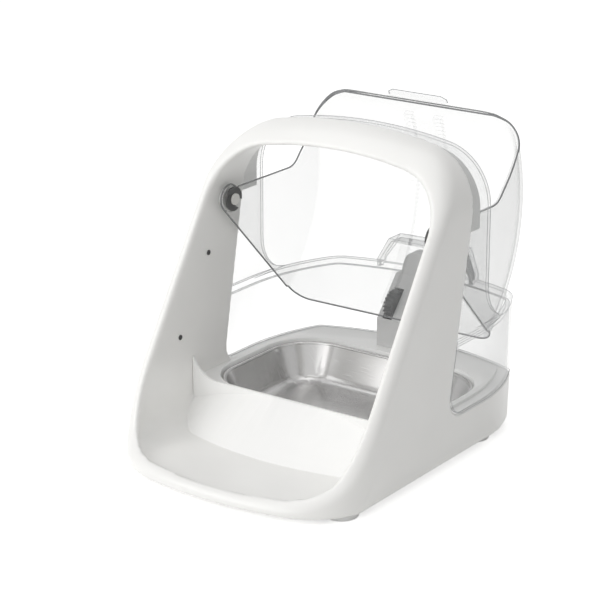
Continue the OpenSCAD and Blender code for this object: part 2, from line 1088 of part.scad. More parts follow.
module gear(pr, m, n, turn, x0, x1) {
    across(x0, x1)
        polygon(gear_points(pr, m, n, turn, 0, n - 1));
}

module drive_pinions() {
    color("#e4e2dc")
    translate([0, pinion_c[0], pinion_c[1]]) {
        for (s = [-1, 1])
            gear(pinion_pr, rack_module, pinion_teeth, pinion_turn, s * rack_x - 4, s * rack_x + 4);
        across(-column_w / 2 + 1.1, column_w / 2 - 1.1)
            circle(2);
    }
}

module idler_gear() {
    color("#dcdad2")
    translate([0, idler_c[0], idler_c[1]])
        difference() {
            union() {
                gear(idler_pr, rack_module, idler_teeth, idler_turn, -rack_x - 4, -rack_x + 4);
                gear(wheel_pr, motor_module, wheel_teeth, 0, -9.6, -5.6);
                across(-rack_x - 4, -5.6)
                    circle(5);
            }
            across(-40, 40)
                circle(1.55);
        }
}

module idler_shaft() {
    color("#b9bbbd")
    across(-column_w / 2 + 1, column_w / 2 - 1)
        translate(idler_c)
            circle(1.5);
}

module motor_pinion() {
    color("#c9a44a")
    translate([0, motor_c[0], motor_c[1]]) {
        gear(motor_pr, motor_module, motor_teeth, motor_turn, -9.6, -5.6);
        across(-9, 6)
            circle(1);
    }
}

module drive_motor() {
    color("#b4b6b8")
    translate([0, motor_c[0], motor_c[1]])
        difference() {
            union() {
                across(-2.3, 10)
                    intersection() {
                        circle(6);
                        square([20, 10], center = true);
                    }
                across(-4.3, -2)
                    circle(3.1);
                across(9, 10.8)
                    circle(2.4);
            }
            across(-6, 7)
                circle(1.05);
        }
}

// Sensing parts
module sensor_windows() {
    color("#3a3a3a")
    sides()
        for (p = sensors)
            translate([opening_hw + 0.1, p[0], p[1]])
                rotate([0, 90, 0])
                    cylinder(r = 2.3, h = liner_t);
}

module infrared_leds() {
    color("#8a8f96")
    sides()
        for (p = sensors)
            translate([opening_hw + liner_t + 0.3, p[0], p[1]])
                rotate([0, 90, 0]) {
                    cylinder(r = 2.5, h = 3.6);
                    cylinder(r = 2.9, h = 1);
                }
}

module antenna_coil() {
    color("#b87333")
    intersection() {
        along(-200, 60)
            difference() {
                outer_arch(wall + 1);
                arch(opening_hw + liner_t + 1.2, opening_top + liner_t + 5, in_r + liner_t + 2, crown_r, 0, 0);
            }
        across(-hw, hw)
            difference() {
                behind(12);
                behind(20);
                translate([-300, -300])
                    square([600, 360]);
            }
    }
}

module control_board() {
    color("#2f6b46")
    difference() {
        union() {
            translate([24, 96, base_z + 10])
                cube([56, 28, 1.6]);
            translate([button_x - 4, 120.5, base_z + 11.5])
                cube([8, 3, 18]);
            translate([30, 104.5, base_z + 11.5])
                cube([12, 12, 2]);
            translate([56, 103.5, base_z + 11.5])
                cube([16, 14, 3]);
        }
    }
}

module learn_button() {
    color("#bdbdbb")
    translate([button_x, 0, button_z])
        rotate([-90, 0, 0]) {
            translate([0, 0, 125.2])
                cylinder(r = 2.2, h = 20);
            translate([0, 0, 143.5])
                cylinder(r = 4.3, h = 9.3);
            translate([0, 0, 143.5])
                cylinder(r = 5.4, h = 1);
        }
}

// Power parts
module battery_box() {
    color("#cfcfcc")
    difference() {
        translate([-55, -70, base_z + 2.6])
            cube([110, 38, 17.6]);
        translate([-53.4, -68.4, base_z + 1])
            cube([106.8, 34.8, 17.6]);
        // Sloped to clear the bib
        translate([-60, -71, base_z + 8.5])
            rotate([-51, 0, 0])
                translate([0, -20, -5])
                    cube([120, 20, 40]);
    }
}

cell_ys = [-58.6, -43];

module battery_cells() {
    color("#5f6f7d")
    for (y = cell_ys, s = [-1, 1])
        translate([s * (cell_l / 2 + 0.6), y, base_z + 11.4])
            rotate([0, 90, 0]) {
                cylinder(r = cell_d / 2, h = cell_l - 1.2, center = true);
                translate([0, 0, cell_l / 2 - 0.7])
                    cylinder(r = 2.6, h = 1.2, center = true);
            }
}

module battery_contacts() {
    color("#c8cacc")
    sides()
        translate([52.2, -66, base_z + 5])
            cube([1, 30, 12]);
}

module battery_door() {
    color("#d6d6d3")
    union() {
        translate([-53.7, -70.7, base_z])
            cube([107.4, 39.4, 2.4]);
        translate([-20, -68, base_z + 2.3])
            cube([40, 1.6, 1.2]);
    }
}

// Puts the origin under the middle of the whole
module place() {
    translate([0, -middle_y, 0])
        children();
}

place() body_housing();
place() hood_liner();
place() bowl_deck();
place() base_pan();
place() rubber_feet();
place() case_screws();
place() clear_shell();
place() trim_arch();
place() visor();
place() pivot_pins();
place() pivot_bushes();
place() pivot_clips();
place() drive_housing();
place() drive_back_cover();
place() drive_pinions();
place() idler_gear();
place() idler_shaft();
place() motor_pinion();
place() drive_motor();
place() steel_bowl();
place() sensor_windows();
place() infrared_leds();
place() antenna_coil();
place() control_board();
place() learn_button();
place() battery_box();
place() battery_cells();
place() battery_contacts();
place() battery_door();
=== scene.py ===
import math

import bpy
import numpy as np
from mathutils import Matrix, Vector


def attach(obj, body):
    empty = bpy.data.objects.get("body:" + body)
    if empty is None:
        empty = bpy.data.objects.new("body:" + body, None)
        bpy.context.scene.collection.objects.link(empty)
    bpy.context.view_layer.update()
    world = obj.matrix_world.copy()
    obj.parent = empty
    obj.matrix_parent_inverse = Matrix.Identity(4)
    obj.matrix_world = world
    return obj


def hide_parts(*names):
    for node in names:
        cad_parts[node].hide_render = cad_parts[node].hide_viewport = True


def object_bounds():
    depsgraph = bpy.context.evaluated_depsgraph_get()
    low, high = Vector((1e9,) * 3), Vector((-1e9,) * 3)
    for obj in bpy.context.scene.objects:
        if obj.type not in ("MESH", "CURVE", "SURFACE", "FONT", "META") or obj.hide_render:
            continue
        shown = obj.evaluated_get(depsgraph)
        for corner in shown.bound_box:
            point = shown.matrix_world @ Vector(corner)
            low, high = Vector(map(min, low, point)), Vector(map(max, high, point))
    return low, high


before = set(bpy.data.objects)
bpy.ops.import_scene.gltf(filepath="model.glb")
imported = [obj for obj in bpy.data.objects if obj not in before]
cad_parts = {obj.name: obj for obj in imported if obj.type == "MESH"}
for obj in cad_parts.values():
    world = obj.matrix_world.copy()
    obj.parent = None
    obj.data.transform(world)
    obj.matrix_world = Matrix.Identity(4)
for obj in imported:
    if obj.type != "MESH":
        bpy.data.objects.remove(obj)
cad_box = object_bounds()

MM = 1 / 1000


# ---------------------------------------------------------------- shared steps
WELD = 1e-6                 # corners of a mesh nearer than this are joined, in metres
FLAT = math.radians(0.3)    # faces of a node that turn less than this are joined


def node_object(name):
    return bpy.data.objects[name]


def select_only(piece):
    bpy.ops.object.select_all(action="DESELECT")
    piece.select_set(True)
    bpy.context.view_layer.objects.active = piece


def add_object(name, data):
    piece = bpy.data.objects.new(name, data)
    bpy.context.collection.objects.link(piece)
    return piece


def copy_of_node(node, name):
    """Copy of a node with a mesh of its own, shown and selected."""
    source = node_object(node)
    piece = source.copy()
    piece.data = source.data.copy()
    piece.name = name
    bpy.context.collection.objects.link(piece)
    piece.hide_viewport = piece.hide_render = False
    piece.hide_set(False)
    select_only(piece)
    return piece


def weld(merge_flat):
    """Joins the loose triangles of the selected piece, and its flat faces if merge_flat."""
    bpy.ops.object.mode_set(mode="EDIT")
    bpy.ops.mesh.select_all(action="SELECT")
    bpy.ops.mesh.remove_doubles(threshold=WELD)
    if merge_flat:
        bpy.ops.mesh.dissolve_limited(angle_limit=FLAT)
    bpy.ops.object.mode_set(mode="OBJECT")


def apply_modifier(piece, kind, **settings):
    modifier = piece.modifiers.new(kind.lower(), kind)
    for setting, value in settings.items():
        setattr(modifier, setting, value)
    bpy.ops.object.modifier_apply(modifier=modifier.name)


def smooth_below(degrees):
    bpy.ops.object.shade_smooth_by_angle(angle=math.radians(degrees))


def disc(name, radius, depth, place, vertices, sideways):
    """Round disc in millimetres that lies flat, or stands and faces sideways."""
    bpy.ops.object.select_all(action="DESELECT")
    bpy.ops.mesh.primitive_cylinder_add(
        vertices=vertices, radius=radius * MM, depth=depth * MM,
        location=[k * MM for k in place], rotation=(0, math.pi / 2 if sideways else 0, 0))
    piece = bpy.context.object
    piece.name = name
    bpy.ops.object.transform_apply(location=True, rotation=True, scale=True)
    return piece


def give_material(piece, material):
    piece.data.materials.clear()
    piece.data.materials.append(material)


# ---------------------------------------------------------------- materials
def new_material(name):
    material = bpy.data.materials.new(name)
    material.use_nodes = True
    return material, material.node_tree, material.node_tree.nodes["Principled BSDF"]


def wire(tree, node, values=None, links=None):
    """Sets a node's own values, and links other nodes' outputs to its inputs."""
    for socket, value in (values or {}).items():
        node.inputs[socket].default_value = value
    for socket, output in (links or {}).items():
        tree.links.new(output, node.inputs[socket])
    return node


def add_node(tree, kind, values=None, links=None):
    return wire(tree, tree.nodes.new("ShaderNode" + kind), values, links)


def place_on_object(tree):
    return add_node(tree, "TexCoord").outputs["Object"]


def noise(tree, place, scale, detail):
    values = {"Scale": scale, "Detail": detail}
    return add_node(tree, "TexNoise", values, {"Vector": place}).outputs["Fac"]


def tones(tree, factor, dark, light, start=0.0, end=1.0):
    """Colour that goes from dark to light while factor goes from start to end."""
    ramp = add_node(tree, "ValToRGB", links={"Fac": factor})
    first, last = ramp.color_ramp.elements
    first.position, last.position = start, end
    first.color, last.color = (*dark, 1), (*light, 1)
    return ramp.outputs["Color"]


def levels(tree, factor, low, high, start=0.0):
    """Value that goes from low to high while factor goes from start to 1."""
    values = {"From Min": start, "From Max": 1.0, "To Min": low, "To Max": high}
    return add_node(tree, "MapRange", values, {"Value": factor}).outputs["Result"]


def relief(tree, height, strength, distance):
    values = {"Strength": strength, "Distance": distance}
    return add_node(tree, "Bump", values, {"Height": height}).outputs["Normal"]


MOTTLING = 0.012            # share by which moulded plastic varies in tone


def moulded_plastic(name, colour, roughness, grain=900.0, bump=0.05, coat=0.0):
    """Injection moulded plastic: faint mottling, fine grain in the gloss and the surface."""
    material, tree, shader = new_material(name)
    place = place_on_object(tree)
    cloud = noise(tree, place, 14.0, 3.0)
    fine = noise(tree, place, grain, 2.0)
    darker = [max(0.0, c * (1 - MOTTLING)) for c in colour]
    lighter = [min(1.0, c * (1 + MOTTLING)) for c in colour]
    wire(tree, shader, {"Coat Weight": coat, "Coat Roughness": 0.1}, {
        "Base Color": tones(tree, cloud, darker, lighter, 0.35, 0.65),
        "Roughness": levels(tree, fine, roughness - 0.04, roughness + 0.04),
        "Normal": relief(tree, fine, bump, 0.0002),
    })
    return material


def clear_plastic(name, tint, facing, grazing):
    """Thin clear moulding: see-through from the front, denser where it turns away."""
    material, tree, shader = new_material(name)
    wave = noise(tree, place_on_object(tree), 22.0, 1.0)
    turned = add_node(tree, "LayerWeight", {"Blend": 0.5}).outputs["Facing"]
    wire(tree, shader, {"Roughness": 0.03, "IOR": 1.45}, {
        "Base Color": tones(tree, wave, [c * 0.985 for c in tint], tint),
        "Normal": relief(tree, wave, 0.06, 0.001),
        "Alpha": levels(tree, turned, facing, grazing, start=0.35),
    })
    return material


def brushed_metal(name, colour, roughness):
    """Metal with fine streaks from side to side in its gloss and tone."""
    material, tree, shader = new_material(name)
    stretched = add_node(tree, "Mapping", {"Scale": (1.0, 60.0, 1.0)},
                         {"Vector": place_on_object(tree)}).outputs["Vector"]
    streak = noise(tree, stretched, 60.0, 4.0)
    wire(tree, shader, {"Metallic": 1.0}, {
        "Base Color": tones(tree, streak, [c * 0.92 for c in colour], colour),
        "Roughness": levels(tree, streak, roughness - 0.06, roughness + 0.08),
    })
    return material


white_shell = moulded_plastic("white shell plastic", (0.93, 0.925, 0.905), 0.3, coat=0.15)
# the inner wall's white is darkened as painted shade for the inside of the hood
inner_wall_painted_shade = moulded_plastic("inner wall painted shade plastic", (0.80, 0.785, 0.765), 0.36, coat=0.1)
deck_white = moulded_plastic("deck plastic", (0.95, 0.948, 0.935), 0.3, coat=0.1)
grey_column = moulded_plastic("grey column plastic", (0.62, 0.62, 0.615), 0.42)
grey_strip = moulded_plastic("grey strip plastic", (0.86, 0.86, 0.85), 0.35)
pale_part = moulded_plastic("pale part plastic", (0.72, 0.71, 0.68), 0.45)
dark_part = moulded_plastic("dark part plastic", (0.05, 0.05, 0.05), 0.4)
rubber = moulded_plastic("foot rubber", (0.8, 0.8, 0.79), 0.7, grain=1500.0, bump=0.15)
circuit_green = moulded_plastic("circuit board", (0.06, 0.22, 0.11), 0.45, grain=500.0, bump=0.2)
cell_wrap = moulded_plastic("cell wrap", (0.2, 0.27, 0.33), 0.3)

clear_lid = clear_plastic("clear lid plastic", (0.62, 0.63, 0.63), 0.1, 0.5)
clear_rear = clear_plastic("clear rear plastic", (0.74, 0.75, 0.75), 0.1, 0.4)
clear_teeth = clear_plastic("clear rack plastic", (0.86, 0.87, 0.87), 0.04, 0.2)
# the dark grey of the lid's rims is painted shade, the dark line that clear plastic shows along its
# edges
edge_painted_shade = moulded_plastic("clear plastic rim painted shade", (0.2, 0.205, 0.21), 0.2, coat=0.3)
# the grey of these edge lines is painted shade, the darker look of clear plastic along its edges
edge_line_painted_shade = moulded_plastic("clear plastic edge line painted shade", (0.5, 0.51, 0.52), 0.2, coat=0.3)

bowl_steel = brushed_metal("bowl steel", (0.56, 0.555, 0.55), 0.24)
plain_steel = brushed_metal("plain steel", (0.6, 0.61, 0.62), 0.3)
brass_metal = brushed_metal("brass", (0.72, 0.53, 0.24), 0.3)
copper_wire = brushed_metal("copper wire", (0.72, 0.38, 0.22), 0.35)

finishes = {
    "body_housing": white_shell,
    "hood_liner": inner_wall_painted_shade,
    "bowl_deck": deck_white,
    "base_pan": white_shell,
    "rubber_feet": rubber,
    "case_screws": plain_steel,
    "clear_shell": clear_rear,
    "trim_arch": grey_strip,
    "visor": clear_lid,
    "pivot_pins": pale_part,
    "pivot_bushes": grey_strip,
    "pivot_clips": dark_part,
    "drive_housing": grey_column,
    "drive_back_cover": grey_column,
    "drive_pinions": dark_part,
    "idler_gear": pale_part,
    "idler_shaft": plain_steel,
    "motor_pinion": brass_metal,
    "drive_motor": plain_steel,
    "steel_bowl": bowl_steel,
    "sensor_windows": dark_part,
    "infrared_leds": dark_part,
    "antenna_coil": copper_wire,
    "control_board": circuit_green,
    "learn_button": grey_strip,
    "battery_box": pale_part,
    "battery_cells": cell_wrap,
    "battery_contacts": plain_steel,
    "battery_door": pale_part,
}
for name, material in finishes.items():
    give_material(node_object(name), material)


# ---------------------------------------------------------------- deck, rear shell and bowl
def rounded(node, name, edge_radius):
    """A moulded copy of a node: welded, its sharp edges rounded and its curves smooth."""
    piece = copy_of_node(node, name)
    weld(merge_flat=True)
    if edge_radius:
        apply_modifier(piece, "BEVEL", width=edge_radius * MM, segments=2, limit_method="ANGLE",
                       angle_limit=math.radians(35), miter_outer="MITER_ARC", use_clamp_overlap=True)
    smooth_below(30)
    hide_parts(node)
    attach(piece, "body")


rounded("bowl_deck", "bib_and_deck", 0.5)
rounded("clear_shell", "rear_shell", 0.9)
rounded("steel_bowl", "bowl", 0)

# ---------------------------------------------------------------- hood and base
# Distances from here to the studio are in millimetres. In this section and for the feet and
# windows, y is that of the drawing, which has the middle of the object's box at MIDDLE_Y.
MIDDLE_Y = 3.92116

HALF_WIDTH = 122
DECK_LEVEL = 46.2           # a little under the deck, so that no two faces lie in one plane
FOOT_X = 98
FOOT_Y = (-118, 84)

# the hood's front and rear edges lean back: a point on each, and its run for each unit of rise
FRONT_Y, FRONT_Z, FRONT_LEAN = -32, 190, 0.635
BACK_Y, BACK_Z, BACK_LEAN = 6, 61, 0.188
LIP_TOP = 15.5
VALLEY_R = 20               # fillet from an edge down to the lip or the deck

# arches seen from the front: half width, top, radius of the crown and radius of the corners
HOOD_ARCH = (HALF_WIDTH, 275, 450, 54)
OPENING_ARCH = (110.7, 257, 432, 46)

# outline seen from above: bowed nose with round corners, curved flanks and bowed tail
NOSE_Y, NOSE_R, NOSE_CORNER_R = 150, 320, 70
NOSE_CORNER = (HALF_WIDTH - NOSE_CORNER_R, -94.53)
FLANK_Y, FLANK_R = 56, 185
TAIL_Y, TAIL_R, TAIL_CORNER_R = -89, 262, 5
TAIL_LEVEL, TAIL_LEAN, TAIL_LEAN_COSINE = 112, math.radians(11.2), 0.981
SKIRT_TOP, SKIRT_R = 46.5, 176

# edge radii of the rim, at the lip and what sides and crown have more
RIM_LIP_R, RIM_SIDE_MORE, RIM_CROWN_MORE = 7, 3, 8
BACK_EDGE_R = 1.0
BOTTOM, BOTTOM_EDGE_R = 4, 6
INNER_LEAST_R, INNER_MORE_R = 1.4, 3.4

# tray floor, and the bib as a cone: its axis, radius at the floor, and shrink for each unit of rise
TRAY_FLOOR, TRAY_CORNER_R, NOSE_WALL = 12, 25, 10
BIB_AXIS_Y, BIB_R, BIB_SHRINK, BIB_COSINE = 193, 296.72, 1.19444, 0.642
BIB_BEND_X, BIB_BEND_Y, BIB_BEND_R = 60.4, -37, 50
BIB_WALL = 1.3
BIB_EASE = 0.5              # what the opening is narrower by beside the bib

# bowl's well (half width, middle, half depth, corners) and the hollow round it
WELL_HALF, WELL_Y, WELL_DEEP, WELL_CORNER_R = 106, 33, 75, 47
HOLLOW_WALL, HOLLOW_FRONT, HOLLOW_Z, HOLLOW_HALF = 24, -44, 33, 26.5

# recess for the bottom cover (half width, middle, half depth, corners, wall, top)
RECESS_HALF, RECESS_Y, RECESS_DEEP, RECESS_CORNER_R = 113.9, -8.3, 132.2, 3
RECESS_WALL, RECESS_TOP, FOOT_CLEAR = 2.8, 9.5, 24


def round_edge(a, b, r):
    """Both conditions hold, and where they meet the edge is rounded."""
    near_edge = np.hypot(np.maximum(a + r, 0), np.maximum(b + r, 0))
    return np.minimum(np.maximum(a, b), -r) + near_edge


def round_valley(a, b, r):
    """Either condition holds, and the valley between them is filled with a fillet."""
    near_valley = np.hypot(np.maximum(r - a, 0), np.maximum(r - b, 0))
    return np.maximum(np.minimum(a, b), r) - near_valley


def step_up(value, low, high):
    """Smooth step from 0 at low to 1 at high."""
    t = np.clip((value - low) / (high - low), 0, 1)
    return t * t * (3 - 2 * t)


def cornered(px, py, side, bow, centre, towards, r):
    """A straight side and a bow with a round corner of radius r between them."""
    dx, dy = px - centre[0], py - centre[1]
    length = math.hypot(*towards)
    vx, vy = towards[0] / length, towards[1] / length
    turn = 1 if vy > 0 else -1
    within = (dy * turn > 0) & ((dx * vy - dy * vx) * turn > 0)
    return np.where(within, np.hypot(dx, dy) - r, np.maximum(side, bow))


def arch_from(x, z, half, top, crown, r):
    """Upright sides with a bowed crown and round corners."""
    low = top - crown
    rise = math.sqrt((crown - r) ** 2 - (half - r) ** 2)
    return cornered(x, z, x - half, np.hypot(x, z - low) - crown,
                    (half - r, low + rise), (half - r, rise), r)


def hood_and_base_form(x, y, z):
    """Below zero inside the white plastic, above zero outside it."""
    x = np.abs(x)
    front = (FRONT_Y + FRONT_LEAN * (z - FRONT_Z) - y) / math.hypot(1, FRONT_LEAN)
    back = (y - BACK_Y - BACK_LEAN * (z - BACK_Z)) / math.hypot(1, BACK_LEAN)

    # outline seen from above, its rear leaning
    sway = (TAIL_LEVEL - z) * math.tan(TAIL_LEAN)
    nose = cornered(x, y, x - HALF_WIDTH, np.hypot(x, y - NOSE_Y) - NOSE_R,
                    NOSE_CORNER, (NOSE_CORNER[0], NOSE_CORNER[1] - NOSE_Y), NOSE_CORNER_R)
    flank = np.where(y > FLANK_Y, np.hypot(x + FLANK_R - HALF_WIDTH, y - FLANK_Y) - FLANK_R,
                     x - HALF_WIDTH)
    tail = np.hypot(x, y + sway - TAIL_Y) - TAIL_R
    tail = round_edge(flank, tail * TAIL_LEAN_COSINE, TAIL_CORNER_R)
    skirt = np.where(z < SKIRT_TOP, np.hypot(x + SKIRT_R - HALF_WIDTH, z - SKIRT_TOP) - SKIRT_R,
                     x - HALF_WIDTH)
    outline = np.maximum(np.maximum(nose, tail), skirt)

    # solid hood and base with their rim
    hood = np.maximum(outline, arch_from(x, z, *HOOD_ARCH))
    rim_r = RIM_LIP_R + RIM_SIDE_MORE * step_up(z, 20, 60) + RIM_CROWN_MORE * step_up(z, 215, 262)
    form = round_edge(hood, round_valley(front, z - LIP_TOP, VALLEY_R), rim_r)
    form = round_edge(form, round_valley(back, z - DECK_LEVEL, VALLEY_R), BACK_EDGE_R)
    form = round_edge(form, BOTTOM - z, BOTTOM_EDGE_R)

    # opening, tray and the space behind the bib
    cone = (np.hypot(x, y - BIB_AXIS_Y) - (BIB_R - BIB_SHRINK * z)) * BIB_COSINE
    beside_bib = step_up(-cone, -5, 0) * (1 - step_up(z, 77, 86))
    opening = round_edge(arch_from(x, z, *OPENING_ARCH) + BIB_EASE * beside_bib,
                         TRAY_FLOOR - z, TRAY_CORNER_R)
    bend = np.where((x > BIB_BEND_X) & (y < BIB_BEND_Y),
                    np.hypot(x - BIB_BEND_X, y - BIB_BEND_Y) - BIB_BEND_R, -100)
    bib = np.maximum(cone, bend)
    space = round_edge(opening, np.minimum(-(bib + BIB_WALL), DECK_LEVEL - z), 2.4)
    space = round_edge(space, nose + NOSE_WALL, 2)
    inner_r = INNER_LEAST_R + INNER_MORE_R * step_up(front, -20, -4) * step_up(z, 17, 32)
    form = round_edge(form, -space, inner_r)

    # hollow under the deck with a well for the bowl
    well = round_edge(x - WELL_HALF, np.abs(y - WELL_Y) - WELL_DEEP, WELL_CORNER_R)
    hollow = np.minimum(np.maximum(outline + HOLLOW_WALL, HOLLOW_FRONT - y), well)
    form = np.maximum(form, -np.maximum(hollow, np.abs(z - HOLLOW_Z) - HOLLOW_HALF))

    # recess that takes the bottom cover and keeps clear of the feet
    from_foot = np.minimum(*(np.hypot(x - FOOT_X, y - foot_y) for foot_y in FOOT_Y))
    recess = np.maximum(round_edge(x - RECESS_HALF, outline + RECESS_WALL, RECESS_CORNER_R),
                        np.abs(y - RECESS_Y) - RECESS_DEEP)
    recess = np.maximum(recess, FOOT_CLEAR - from_foot)
    return np.maximum(form, -np.maximum(recess, z - RECESS_TOP))


SLOPE_REACH = 0.05          # distance to either side over which the form's slope is taken
SKIN_ROUNDS = 4             # times that the skin's points are moved onto the form


def shaped_skin(name, form, low, high, step):
    """Smooth closed skin where form is zero: one point in each cell of a grid that it crosses."""
    axes = [np.arange(low[i], high[i] + step, step) for i in range(3)]
    grid = np.meshgrid(*axes, indexing="ij")
    value = form(*grid)
    inside = value < 0
    cells = tuple(n - 1 for n in value.shape)
    total = np.zeros(cells + (3,))
    count = np.zeros(cells, int)
    crossings = []
    for a in range(3):
        b, c = [k for k in range(3) if k != a]
        first = [slice(None)] * 3
        second = [slice(None)] * 3
        first[a], second[a] = slice(None, -1), slice(1, None)
        v0, v1 = value[tuple(first)], value[tuple(second)]
        where = np.argwhere(inside[tuple(first)] != inside[tuple(second)])
        i = tuple(where.T)
        part = v0[i] / (v0[i] - v1[i])
        place = np.stack([axes[k][where[:, k]] for k in range(3)], 1)
        place[:, a] += part * step
        rounds = []
        for db, dc in ((0, 0), (1, 0), (1, 1), (0, 1)):
            cell = where.copy()
            cell[:, b] -= db
            cell[:, c] -= dc
            rounds.append(cell)
            fits = np.all((cell >= 0) & (cell < np.array(cells)), 1)
            j = tuple(cell[fits].T)
            np.add.at(total, j, place[fits])
            np.add.at(count, j, 1)
        outward = inside[tuple(first)][i] == (a != 1)
        crossings.append((rounds, outward))
    number = np.full(cells, -1)
    filled = count > 0
    number[filled] = np.arange(filled.sum())
    points = total[filled] / count[filled][:, None]
    for _ in range(SKIN_ROUNDS):
        here = form(*points.T)
        slope = np.stack([(form(*(points + d).T) - form(*(points - d).T)) / (2 * SLOPE_REACH)
                          for d in SLOPE_REACH * np.eye(3)], 1)
        steep = np.maximum((slope ** 2).sum(1), 0.05)
        move = -(here / steep)[:, None] * slope
        size = np.linalg.norm(move, axis=1, keepdims=True)
        points = points + move * np.minimum(1, 0.6 * step / np.maximum(size, 1e-9))
    faces = []
    for rounds, outward in crossings:
        quad = np.stack([number[tuple(r.T)] for r in rounds], 1)
        quad[~outward] = quad[~outward][:, ::-1]
        faces.append(quad)
    points[:, 1] -= MIDDLE_Y
    mesh = bpy.data.meshes.new(name)
    mesh.from_pydata((points / 1000).tolist(), [], np.concatenate(faces).tolist())
    mesh.update()
    mesh.polygons.foreach_set("use_smooth", [True] * len(mesh.polygons))
    return add_object(name, mesh)


SKIN_STEP = 2.2
hood_and_base = shaped_skin("hood_and_base", hood_and_base_form,
                            (-125, -176, 1), (125, 178, 279), SKIN_STEP)
hood_and_base.data.materials.append(white_shell)
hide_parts("body_housing", "hood_liner")
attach(hood_and_base, "body")

# ---------------------------------------------------------------- clear lid
# A place on the lid is q, the way round its section from the middle, and its turn round the pins.
AXIS_Y = 6.5 - MIDDLE_Y
AXIS_Z = 200.0
LID_R = 152.0               # from the pins to the outer face
LID_FLAT = 88.0             # half width of the part of the section that is straight
LID_BEND = 18.0             # radius of the bend to the side walls
LID_ROUND = LID_BEND * math.pi / 2
LID_SIDE = LID_FLAT + LID_BEND
LID_WIDTH = LID_FLAT + LID_ROUND + 122
LID_HIGH, LID_LOW = 30.0, -50.0
SIDE_LOW, SIDE_OFFSET = -45.5, 12   # lower side edge: a line from the pins, moved down
TOP_CORNER_R, TOP_CORNER_X, TOP_CORNER_FROM = 34, 72.7, 101
EVENED_OVER = 17            # the upper edge is evened out over this far to each side
HUB_TURNS = (38.7, 224.5)   # part of the hub's edge that is free of the side wall


def lid_upper_edge():
    """Distance from the pins and turn along the lid's upper side edge."""
    run = [(y, 7.5) for y in np.linspace(10, 87.5, 40)]
    run += [(87.5 + 25 * math.sin(a), 32.5 - 25 * math.cos(a))
            for a in np.radians(np.linspace(3, 65.2, 12))]
    run += [(110.2 + 0.4195 * t, 22.0 + 0.9078 * t) for t in np.linspace(2, 75, 20)]
    return [math.hypot(*p) for p in run], [math.degrees(math.atan2(p[1], p[0])) for p in run]


UPPER_R, UPPER_TURN = lid_upper_edge()


def lid_section(q, deep=0.0):
    """Sideways place and distance from the pins at q, deep millimetres under the outer face."""
    side, q = (1 if q >= 0 else -1), abs(q)
    if q <= LID_FLAT:
        return side * q, LID_R - deep
    if q <= LID_FLAT + LID_ROUND:
        t, bend = (q - LID_FLAT) / LID_BEND, LID_BEND - deep
        return side * (LID_FLAT + bend * math.sin(t)), LID_R - LID_BEND + bend * math.cos(t)
    return side * (LID_SIDE - deep), LID_R - LID_BEND - (q - LID_FLAT - LID_ROUND)


def lid_top(q):
    """Highest turn of the lid at q, where its side edge and its top corner meet."""
    x, r = lid_section(q)
    top = min(LID_HIGH, float(np.interp(r, UPPER_R, UPPER_TURN)))
    over = min(abs(x) - TOP_CORNER_X, LID_SIDE - TOP_CORNER_X)
    if over > 0 and r > TOP_CORNER_FROM:
        drop = TOP_CORNER_R - math.sqrt(TOP_CORNER_R ** 2 - over * over)
        top = min(top, LID_HIGH - math.degrees(math.asin(drop / r)))
    return top


def lid_turns(q):
    """Lowest and highest turn of the lid at q, the highest evened out over the bend."""
    _, r = lid_section(q)
    spread = EVENED_OVER * float(step_up(abs(q), 62, 84) * (1 - step_up(abs(q), 140, 165)))
    samples = range(-5, 6)
    top = sum(lid_top(q + spread * k / 5) for k in samples) / len(samples)
    low = LID_LOW
    if abs(q) > LID_FLAT + LID_ROUND:
        low = SIDE_LOW - math.degrees(math.asin(min(1.0, SIDE_OFFSET / r)))
    return low, top


def lid_place(q, turn, out=0.0):
    """Place in metres at q and turn, out millimetres off the outer face."""
    x, r = lid_section(q, -out)
    a = math.radians(turn)
    return Vector((x, AXIS_Y + r * math.cos(a), AXIS_Z + r * math.sin(a))) / 1000


def held_in_box(piece):
    """Keeps a thin line on the outside edge within the part's own box."""
    for vertex in piece.data.vertices:
        for k in range(3):
            vertex.co[k] = min(max(vertex.co[k], cad_box[0][k]), cad_box[1][k])


def lid_sheet(name, rows, thickness):
    """Rows of places made into a plate of even thickness."""
    count = len(rows[0])
    faces = [(i * count + j, i * count + j + 1, (i + 1) * count + j + 1, (i + 1) * count + j)
             for i in range(len(rows) - 1) for j in range(count - 1)]
    mesh = bpy.data.meshes.new(name)
    mesh.from_pydata([p for row in rows for p in row], [], faces)
    piece = add_object(name, mesh)
    select_only(piece)
    apply_modifier(piece, "SOLIDIFY", thickness=thickness * MM, offset=-1, use_even_offset=True)
    bpy.ops.object.mode_set(mode="EDIT")
    bpy.ops.mesh.select_all(action="SELECT")
    bpy.ops.mesh.normals_make_consistent(inside=False)
    bpy.ops.object.mode_set(mode="OBJECT")
    smooth_below(40)
    give_material(piece, clear_lid)
    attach(piece, "lid")
    return piece


def lid_edge_line(name, places, radius, closed=False, thick=None, material=edge_painted_shade):
    """Round rim along a run of places, with thick as the factors on its radius; dark by default as
    painted shade along the edge of clear plastic.
    """
    curve = bpy.data.curves.new(name, "CURVE")
    curve.dimensions = "3D"
    curve.bevel_depth = radius * MM
    curve.bevel_resolution = 2
    curve.use_fill_caps = True
    line = curve.splines.new("POLY")
    line.points.add(len(places) - 1)
    for k, place in enumerate(places):
        line.points[k].co = (*place, 1)
        line.points[k].radius = thick[k] if thick else 1.0
    line.use_cyclic_u = closed
    select_only(add_object(name, curve))
    bpy.ops.object.convert(target="MESH")
    rim = bpy.context.object
    rim.name = name
    smooth_below(50)
    held_in_box(rim)
    give_material(rim, material)
    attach(rim, "lid")


across_lid = [float(q) for q in np.linspace(-LID_WIDTH, LID_WIDTH, 221)]
lid_rows = [[lid_place(q, float(turn)) for turn in np.linspace(*lid_turns(q), 61)]
            for q in across_lid]
lid = lid_sheet("visor_lid", lid_rows, 2.6)
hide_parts("visor")

